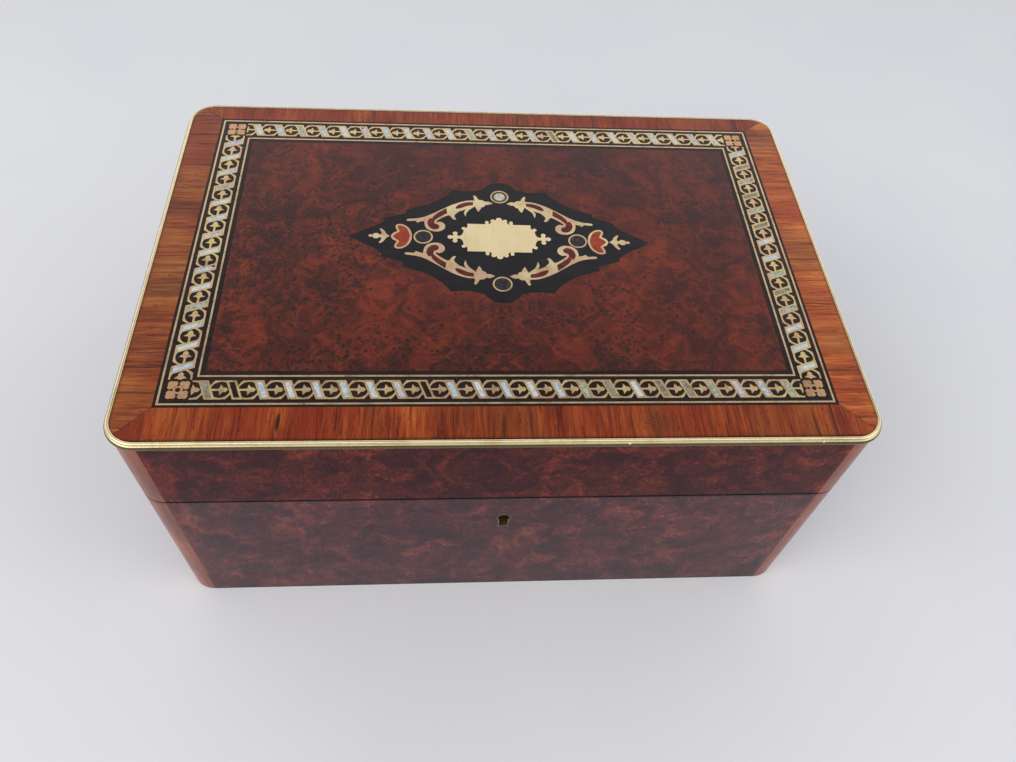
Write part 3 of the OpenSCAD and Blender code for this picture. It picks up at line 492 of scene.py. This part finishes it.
# ---------------------------------------------------------------- lining
def lining(name, lo, mid, hi, weave=5200):
    """Crimson silk velvet: soft nap, fine weave and cloudy lighter patches."""
    M = Mat(name, sheen=0.32, spec=0.25)
    x, y, z = M.sep(M.pos)
    nap = M.noise(M.warp(M.pos, 80, 0.006), 55, 4, 0.6)
    fine = M.noise(M.pos, 1600, 3, 0.6)
    tone = M.math("ADD", M.math("MULTIPLY", nap, 0.7), M.math("MULTIPLY", fine, 0.3))
    col = M.ramp(tone, [(0.38, lo), (0.5, mid), (0.62, hi)])
    wx = M.wave(M.pos, weave / 20.0, 0.3, 2, 1.0, "X")
    wy = M.wave(M.pos, weave / 20.0, 0.3, 2, 1.0, "Y")
    wz = M.wave(M.pos, weave / 20.0, 0.3, 2, 1.0, "Z")
    w = M.math("MULTIPLY", M.math("ADD", M.math("ADD", wx, wy), wz), 0.33)
    col = M.mix(M.mr(w, 0.3, 0.7, 0.18, 0.0), col, lo)
    return M.finish(col, M.mr(nap, 0.3, 0.7, 0.62, 0.82), M.bump(M.math("ADD", w, M.math("MULTIPLY", fine, 0.7)), 0.00012, 0.6))


GOLD = (lin(232, 208, 150), lin(206, 172, 108), lin(104, 74, 42))
mats = {
    # the base copy of the side burl is greyed and bluer than the lid copy: a painted reflection of the pale table below
    # the lower front
    "field": field_burl(), "side_lid": side_burl("side_burl_lid", 0.09, (1.06, 1.0, 1.0)), "base_side_greyed": side_burl("base_side_burl_greyed", 0.24, (1.10, 1.42, 1.85)), "corner": corner_burl(),
    "bx": crossband("crossband_long", "x", (0.68, 0.52, 0.30)), "by": crossband("crossband_short", "y", (1.0, 1.08, 0.90)),
    "wx": carcass("carcass_x", "x"), "wy": carcass("carcass_y", "y"),
    "ebony": ebony("ebony", 0.28, (0.42, 0.42, 0.52)), "ebony_border": ebony("ebony_border", 0.24, (1.5, 0.85, 0.7)), "red": red_veneer(), "plate": plate_brass(), "steel": steel(), "disc": disc_stone(),
    "line": brass("line_brass", lin(222, 192, 150), lin(186, 150, 112), lin(84, 58, 40), (0.28, 0.42), 1.6, 0.7),
    "dull": brass("dull_brass", lin(150, 136, 104), lin(116, 102, 78), lin(60, 48, 34), (0.36, 0.52), 1.0, 0.5),
    "fret": brass("fret_brass", lin(230, 202, 142), lin(196, 158, 104), lin(78, 54, 34), (0.28, 0.44), 2.4, 0.85, coppery=0.5),
    "scroll": brass("scroll_brass", lin(236, 216, 168), lin(208, 172, 128), lin(116, 78, 56), (0.28, 0.42), 1.4, 0.5, coppery=0.7),
    "flower": brass("flower_brass", lin(214, 168, 124), lin(188, 138, 96), lin(84, 56, 36), (0.3, 0.45), 1.6, 0.6),
    "edge": brass("edge_brass", lin(240, 222, 176), lin(222, 200, 148), lin(92, 78, 46), (0.20, 0.32), 0.9, 0.16, bump=0.000003, lower_half_shade=(0.1354, 0.1363, 0.92)),
    "hard": brass("hardware_brass", lin(220, 186, 118), lin(192, 152, 86), lin(98, 72, 38), (0.28, 0.42), 1.0, 0.45),
    "velvet": lining("velvet", lin(88, 13, 23), lin(112, 18, 30), lin(134, 28, 38)),
}
use = {
    "wx": "base_front_board base_back_board base_bottom_board lid_front_rail lid_back_rail lid_top_board",
    "wy": "base_left_board base_right_board lid_left_rail lid_right_rail",
    "base_side_greyed": "base_front_veneer base_back_veneer base_end_veneers",
    "side_lid": "lid_front_veneer lid_back_veneer lid_end_veneers",
    "corner": "base_corner_veneers lid_corner_veneers",
    "bx": "band_front band_back", "by": "band_left band_right",
    "field": "field_left field_right",
    "ebony": "panel_ground", "ebony_border": "border_ground",
    "line": "border_lines roundel_rings", "dull": "keyhole_lining",
    "fret": "fret_front fret_back fret_ends",
    "flower": "corner_flowers",
    "scroll": "scrolls palmettes finials",
    "plate": "name_plate", "red": "red_inlays", "disc": "roundel_discs",
    "edge": "edge_straights edge_bends",
    "hard": "lock_plate lock_selvedge lock_case_rim lock_cap lock_spring lock_bolt link_plate base_screws lid_screws hinge_base_leaves hinge_lid_leaves hinge_pins",
    "steel": "lock_drill_pin",
    "velvet": "base_floor_pad base_wall_linings lid_pad lid_wall_linings",
}
done = set()
for key, names in use.items():
    for name in names.split():
        o = N[name]
        o.data.materials.clear()
        o.data.materials.append(mats[key])
        done.add(name)
PEARL = {
    "w": pearl("pearl_white", lin(196, 204, 206), lin(228, 232, 232), lin(244, 242, 238)),
    "b": pearl("pearl_blue", lin(160, 182, 200), lin(204, 216, 228), lin(236, 238, 244)),
    "l": pearl("pearl_lilac", lin(178, 168, 190), lin(212, 202, 212), lin(238, 230, 232)),
    "g": pearl("pearl_green", lin(128, 146, 130), lin(172, 184, 162), lin(206, 214, 196), 0.1),
    "d": pearl("pearl_dull", lin(104, 98, 84), lin(142, 134, 116), lin(176, 168, 150), 0.2),
    "x": mats["ebony_border"],
}


# ---------------------------------------------------------------- mesh helpers
def add(name, verts, faces, mat, body, smooth=False, slots=None, face_mats=None):
    me = bpy.data.meshes.new(name)
    me.from_pydata([tuple(v) for v in verts], [], faces)
    for m in slots or [mat]:
        me.materials.append(m)
    if face_mats:
        me.polygons.foreach_set("material_index", face_mats)
    me.polygons.foreach_set("use_smooth", [smooth] * len(me.polygons))
    bm = bmesh.new()
    bm.from_mesh(me)
    bmesh.ops.recalc_face_normals(bm, faces=bm.faces)
    bm.to_mesh(me)
    bm.free()
    me.update()
    o = bpy.data.objects.new(name, me)
    scene.collection.objects.link(o)
    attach(o, body)
    return o


def shell(name, us, vs, front, rear, mat, body, keep=None):
    """Closed soft shell between a front and a rear surface over a grid; keep(u, v) leaves cells out."""
    verts, faces, ids = [], [], {}

    def vid(side, i, j):
        k = (side, i, j)
        if k not in ids:
            ids[k] = len(verts)
            verts.append((front if side else rear)(us[i], vs[j]))
        return ids[k]

    edges = {}
    for i in range(len(us) - 1):
        for j in range(len(vs) - 1):
            if keep and not keep((us[i] + us[i + 1]) / 2, (vs[j] + vs[j + 1]) / 2):
                continue
            ring = [(i, j), (i + 1, j), (i + 1, j + 1), (i, j + 1)]
            faces.append([vid(1, *r) for r in ring])
            faces.append([vid(0, *r) for r in reversed(ring)])
            for a, b in zip(ring, ring[1:] + ring[:1]):
                if (b, a) in edges:
                    del edges[(b, a)]
                else:
                    edges[(a, b)] = True
    for a, b in edges:
        faces.append([vid(1, *b), vid(1, *a), vid(0, *a), vid(0, *b)])
    return add(name, verts, faces, mat, body, smooth=True)


def steps(a, b, n):
    return [a + (b - a) * i / n for i in range(n + 1)]


# ---------------------------------------------------------------- inlay grounds, level with the brass
def level_ground(node, name, wood):
    src = N[node].data
    bm = bmesh.new()
    bm.from_mesh(src)
    bmesh.ops.remove_doubles(bm, verts=bm.verts, dist=1e-6)
    for v in bm.verts:
        if v.co.z > 0.1365:
            v.co.z = 0.13697
    me = bpy.data.meshes.new(name)
    bm.to_mesh(me)
    bm.free()
    me.materials.append(mats[wood])
    me.polygons.foreach_set("use_smooth", [False] * len(me.polygons))
    o = bpy.data.objects.new(name, me)
    scene.collection.objects.link(o)
    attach(o, "lid")
    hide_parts(node)
    return o


level_ground("border_ground", "border_ebony", "ebony_border")
level_ground("panel_ground", "panel_ebony", "ebony")

# ---------------------------------------------------------------- mother-of-pearl bars, one by one
PITCH, MX, MYF, MYB, MID = 10.5, 126.15, -76.65, 81.65, 2.5
CODES = {
    "front": "dxbwbbwlxbwbwbgdwddglbg",
    "back": "wbgbwlbwbwgbwbdwbwlbwbb",
    "left": "bwbgwbwlbwgbwb",
    "right": "wbwgdgbwdgdgdb",
}


def pearl_row(n, at, turn, codes, verts, faces, fm, rnd):
    c, s = math.cos(turn), math.sin(turn)
    for i in range(n):
        x0 = (i - (n - 1) / 2) * PITCH
        w, h, lean = 2.2, 7.4, 2.8
        base = [(-w / 2 + lean / 2, -h / 2), (w / 2 + lean / 2, -h / 2), (w / 2 - lean / 2, h / 2), (-w / 2 - lean / 2, h / 2)]
        low = codes[i] == "x"
        top = 136.8 if low else 136.985 + rnd.uniform(-0.01, 0.015)
        tx, ty = (rnd.uniform(-0.004, 0.004), rnd.uniform(-0.0015, 0.0015))
        k = len(verts)
        # foot, shoulder and chamfered top
        for ins, z in ((0.0, 136.72), (0.0, top - 0.05), (0.1, top)):
            for px, py in base:
                f = 1 - ins / (h / 2)
                g = 1 - ins / (w / 2) * 0.6
                qx, qy = px * 1.0, py * f
                qx = -qy * lean / h + (px + py * lean / h) * g
                zz = z + (qx * tx + qy * ty if ins else 0)
                X, Y = x0 + qx, qy
                verts.append(((at[0] + c * X - s * Y) * MM, (at[1] + s * X + c * Y) * MM, zz * MM))
        for r in range(2):
            for a in range(4):
                b = (a + 1) % 4
                faces.append([k + 4 * r + a, k + 4 * r + b, k + 4 * r + 4 + b, k + 4 * r + 4 + a])
        faces.append([k + 8, k + 9, k + 10, k + 11])
        faces.append([k + 3, k + 2, k + 1, k])
        fm.extend(["wblgdx".index(codes[i])] * 10)


V, F, FM, rnd = [], [], [], random.Random(7)
pearl_row(23, (0, MYF), 0, CODES["front"], V, F, FM, rnd)
pearl_row(23, (0, MYB), 0, CODES["back"], V, F, FM, rnd)
pearl_row(14, (-MX, MID), math.pi / 2, CODES["left"], V, F, FM, rnd)
pearl_row(14, (MX, MID), math.pi / 2, CODES["right"], V, F, FM, rnd)
bars = add("pearl_inlays", V, F, None, "lid", slots=[PEARL[k] for k in "wblgdx"], face_mats=FM)
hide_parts("pearl_bars")


# ---------------------------------------------------------------- quilted lid pad with covered buttons
lo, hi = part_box("lid_pad")
CW, CH = 0.040, 0.0364


def nearest_button(x, y):
    best = 9.0
    for ox in (0.0, 0.5):
        u, v = x / CW - ox, y / CH - ox
        dx, dy = (u - round(u)) * CW, (v - round(v)) * CH
        best = min(best, math.hypot(dx, dy))
    return best


def quilt(x, y):
    a, b = x / CW + y / CH, x / CW - y / CH
    s = abs(math.sin(math.pi * a) * math.sin(math.pi * b))
    h = 0.30 + 0.70 * s ** 0.42
    h -= 0.30 * math.exp(-(nearest_button(x, y) / 0.0042) ** 2)
    h += 0.05 * mnoise.noise(Vector((x * 90, y * 90, 3.1)))
    edge = min(x - lo.x, hi.x - x, y - lo.y, hi.y - y)
    k = min(1.0, max(0.0, edge / 0.006))
    return (0.22 + 0.78 * math.sqrt(k)) * h * (1 - 0.0) + 0.12


T = hi.z - lo.z
pad = shell("lid_quilt", steps(lo.x + 0.0002, hi.x - 0.0002, 176), steps(lo.y + 0.0002, hi.y - 0.0002, 116),
            lambda x, y: (x, y, hi.z - 0.0001 - (T - 0.0003) * min(1.0, quilt(x, y) / 1.12)),
            lambda x, y: (x, y, hi.z - 0.00005), mats["velvet"], "lid")
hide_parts("lid_pad")

bv, bf = [], []
for ox in (0.0, 0.5):
    for i in range(-5, 6):
        for j in range(-4, 5):
            x, y = (i + ox) * CW, (j + ox) * CH
            if abs(x) > hi.x - 0.008 or abs(y) > hi.y - 0.008:
                continue
            z = hi.z - 0.0001 - (T - 0.0003) * quilt(x, y) / 1.12
            k = len(bv)
            rings = [(0.0026, 0.0006), (0.0027, -0.0002), (0.0022, -0.0010), (0.0012, -0.0015)]
            for r, dz in rings:
                for m in range(16):
                    t = 2 * math.pi * m / 16
                    w = 1 + 0.03 * math.sin(5 * t + i)
                    bv.append((x + r * w * math.cos(t), y + r * w * math.sin(t), z + dz))
            bv.append((x, y, z - 0.00165))
            for q in range(3):
                for m in range(16):
                    n = (m + 1) % 16
                    bf.append([k + 16 * q + m, k + 16 * q + n, k + 16 * q + 16 + n, k + 16 * q + 16 + m])
            for m in range(16):
                bf.append([k + 48 + m, k + 48 + (m + 1) % 16, k + 64])
            bf.append([k + m for m in range(15, -1, -1)])
buttons = add("lid_buttons", bv, bf, mats["velvet"], "lid", smooth=True)


# ---------------------------------------------------------------- base floor cushion
lo2, hi2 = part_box("base_floor_pad")


def cushion(x, y):
    ex, ey = min(x - lo2.x, hi2.x - x), min(y - lo2.y, hi2.y - y)
    e = min(ex, ey)
    roll = 1 - max(0.0, 1 - e / 0.0045) ** 2
    seam = 0.55 * math.exp(-((e - 0.011) / 0.0011) ** 2)
    puff = 0.75 + 0.16 * math.sin(math.pi * (x - lo2.x) / (hi2.x - lo2.x)) * math.sin(math.pi * (y - lo2.y) / (hi2.y - lo2.y))
    w = 0.06 * mnoise.noise(Vector((x * 55, y * 40, 1.7))) + 0.03 * mnoise.noise(Vector((x * 160, y * 130, 5.2)))
    return max(0.12, min(0.99, roll * (puff + w) - seam * 0.5))


pad2 = shell("floor_cushion", steps(lo2.x + 0.0002, hi2.x - 0.0002, 186), steps(lo2.y + 0.0002, hi2.y - 0.0002, 122),
             lambda x, y: (x, y, lo2.z + (hi2.z - lo2.z) * cushion(x, y)),
             lambda x, y: (x, y, lo2.z + 0.00005), mats["velvet"], "base")
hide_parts("base_floor_pad")


# ---------------------------------------------------------------- gathered wall linings
def gather(u, v, h, seed):
    """Thickness of the gathered cloth, 0 to 1: soft upright folds held flat by a hem at top and bottom."""
    k = u * 620 + 2.2 * mnoise.noise(Vector((u * 60, seed, v * 12)))
    fold = 0.5 + 0.5 * math.sin(k)
    fold *= 0.65 + 0.35 * mnoise.noise(Vector((u * 25, v * 30, seed + 4)))
    top = (h - v) / 0.0035
    foot = v / 0.003
    hold = min(1.0, max(0.0, min(top, foot)))
    hem = math.exp(-((h - v - 0.0014) / 0.0011) ** 2)
    return min(0.98, max(0.3, 0.38 + 0.5 * fold * hold + 0.5 * hem))


def walls(tag, node, body, slot_from=None):
    a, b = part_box(node)
    t, z0, z1 = 0.0015, a.z, b.z
    h = z1 - z0
    kx = 0.0019
    nv = max(8, int(h / 0.0016))
    out = []
    for side, y, sy in (("front", a.y, 1), ("back", b.y, -1)):
        keep = None
        us = steps(a.x + 0.00005, b.x - 0.00005, 460)
        vs = steps(0.00005, h - 0.00005, nv)
        if side == "front" and slot_from:
            us = steps(a.x + 0.00005, kx - 0.026, 196) + steps(kx - 0.026, kx + 0.026, 86)[1:] + steps(kx + 0.026, b.x - 0.00005, 190)[1:]
            vs = steps(0.00005, slot_from - z0, 28) + steps(slot_from - z0, h - 0.00005, 18)[1:]
            keep = lambda u, v: not (abs(u - kx) < 0.026 and v > slot_from - z0)
        o = shell(tag + "_" + side, us, vs,
                  lambda u, v, y=y, sy=sy: (u, y + sy * t * gather(u, v, h, 1.0 if sy > 0 else 2.0), z0 + v),
                  lambda u, v, y=y, sy=sy: (u, y + sy * 0.00003, z0 + v), mats["velvet"], body, keep)
        out.append(o)
    for side, x, sx in (("left", a.x, 1), ("right", b.x, -1)):
        o = shell(tag + "_" + side, steps(a.y + t, b.y - t, 300), steps(0.00005, h - 0.00005, nv),
                  lambda u, v, x=x, sx=sx: (x + sx * t * gather(u, v, h, 3.0 if sx > 0 else 4.0), u, z0 + v),
                  lambda u, v, x=x, sx=sx: (x + sx * 0.00003, u, z0 + v), mats["velvet"], body)
        out.append(o)
    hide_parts(node)
    return out


walls("base_lining", "base_wall_linings", "base", 0.058)
walls("lid_lining", "lid_wall_linings", "lid")

# ---------------------------------------------------------------- pins of the brass edge
pv, pf = [], []
elo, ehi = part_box("edge_straights")
for px in (0.1235, 0.0465):
    k = len(pv)
    c = Vector((px, elo.y + 0.0014 - 0.0014 * 0.62, elo.z + 0.0014 + 0.0014 * 0.78))
    nrm = Vector((0, -0.62, 0.78)).normalized()
    e1 = Vector((1, 0, 0))
    e2 = nrm.cross(e1)
    for r, d in ((0.00062, -0.0006), (0.00060, 0.00012), (0.00042, 0.00028)):
        for m in range(14):
            t = 2 * math.pi * m / 14
            pv.append(c + nrm * d + (e1 * math.cos(t) + e2 * math.sin(t)) * r)
    pv.append(c + nrm * 0.00034)
    for q in range(2):
        for m in range(14):
            n = (m + 1) % 14
            pf.append([k + 14 * q + m, k + 14 * q + n, k + 14 * q + 14 + n, k + 14 * q + 14 + m])
    for m in range(14):
        pf.append([k + 28 + m, k + 28 + (m + 1) % 14, k + 42])
    pf.append([k + m for m in range(13, -1, -1)])
pins = add("edge_pins", pv, pf, mats["edge"], "lid", smooth=True)

# ---------------------------------------------------------------- floor and light
fm = Mat("floor_paint", spec=0.3)
fn = fm.noise(fm.pos, 6, 3, 0.5)
floor_mat = fm.finish(fm.ramp(fn, [(0.3, lin(222, 222, 225)), (0.7, lin(226, 226, 228))]), 0.6)
fme = bpy.data.meshes.new("floor")
fme.from_pydata([(-4, -4, 0), (4, -4, 0), (4, 4, 0), (-4, 4, 0)], [], [(0, 1, 2, 3)])
fme.materials.append(floor_mat)
floor = bpy.data.objects.new("floor", fme)
scene.collection.objects.link(floor)

world = bpy.data.worlds.new("studio")
scene.world = world
world.use_nodes = True
wt = world.node_tree
wt.nodes.clear()
wo = wt.nodes.new("ShaderNodeOutputWorld")
bg = wt.nodes.new("ShaderNodeBackground")
tc = wt.nodes.new("ShaderNodeTexCoord")
sx = wt.nodes.new("ShaderNodeSeparateXYZ")
rp = wt.nodes.new("ShaderNodeValToRGB")
wt.links.new(tc.outputs["Generated"], sx.inputs[0])
wt.links.new(sx.outputs[2], rp.inputs[0])
els = rp.color_ramp.elements
els[0].position, els[0].color = 0.0, (1.15, 1.17, 1.22, 1)
els[1].position, els[1].color = 1.0, (0.30, 0.32, 0.35, 1)
for p, c in ((0.56, (1.45, 1.47, 1.53, 1)), (0.64, (1.12, 1.14, 1.19, 1)), (0.71, (0.74, 0.75, 0.79, 1)), (0.79, (0.44, 0.46, 0.50, 1))):
    els.new(p).color = c
# darker behind the camera, so that the brass has something to show
az = wt.nodes.new("ShaderNodeMapRange")
az.interpolation_type = "SMOOTHSTEP"
for i, v in enumerate((None, -0.55, 0.45, 0.34, 1.0)):
    if v is not None:
        az.inputs[i].default_value = v
wt.links.new(sx.outputs[1], az.inputs[0])
mul = wt.nodes.new("ShaderNodeVectorMath")
mul.operation = "SCALE"
wt.links.new(rp.outputs[0], mul.inputs[0])
wt.links.new(az.outputs[0], mul.inputs["Scale"])
wt.links.new(mul.outputs[0], bg.inputs[0])
bg.inputs[1].default_value = 0.85
wt.links.new(bg.outputs[0], wo.inputs[0])


def area(name, at, to, size, power, color=(1, 1, 1)):
    d = bpy.data.lights.new(name, "AREA")
    d.shape = "RECTANGLE"
    d.size, d.size_y = size
    d.energy = power
    d.color = color
    o = bpy.data.objects.new(name, d)
    scene.collection.objects.link(o)
    o.location = at
    o.rotation_euler = (Vector(to) - Vector(at)).to_track_quat("-Z", "Y").to_euler()
    return o


area("key", (-1.3, -0.7, 1.3), (0, 0, 0.1), (1.4, 1.2), 15, (1.0, 0.985, 0.96))
area("fill", (1.4, -0.5, 1.1), (0, 0, 0.1), (1.0, 1.0), 5.5, (1.0, 0.99, 0.97))
area("front", (0.1, -0.8, 1.6), (0, -0.05, 0.1), (2.0, 1.5), 10, (0.98, 0.99, 1.0))
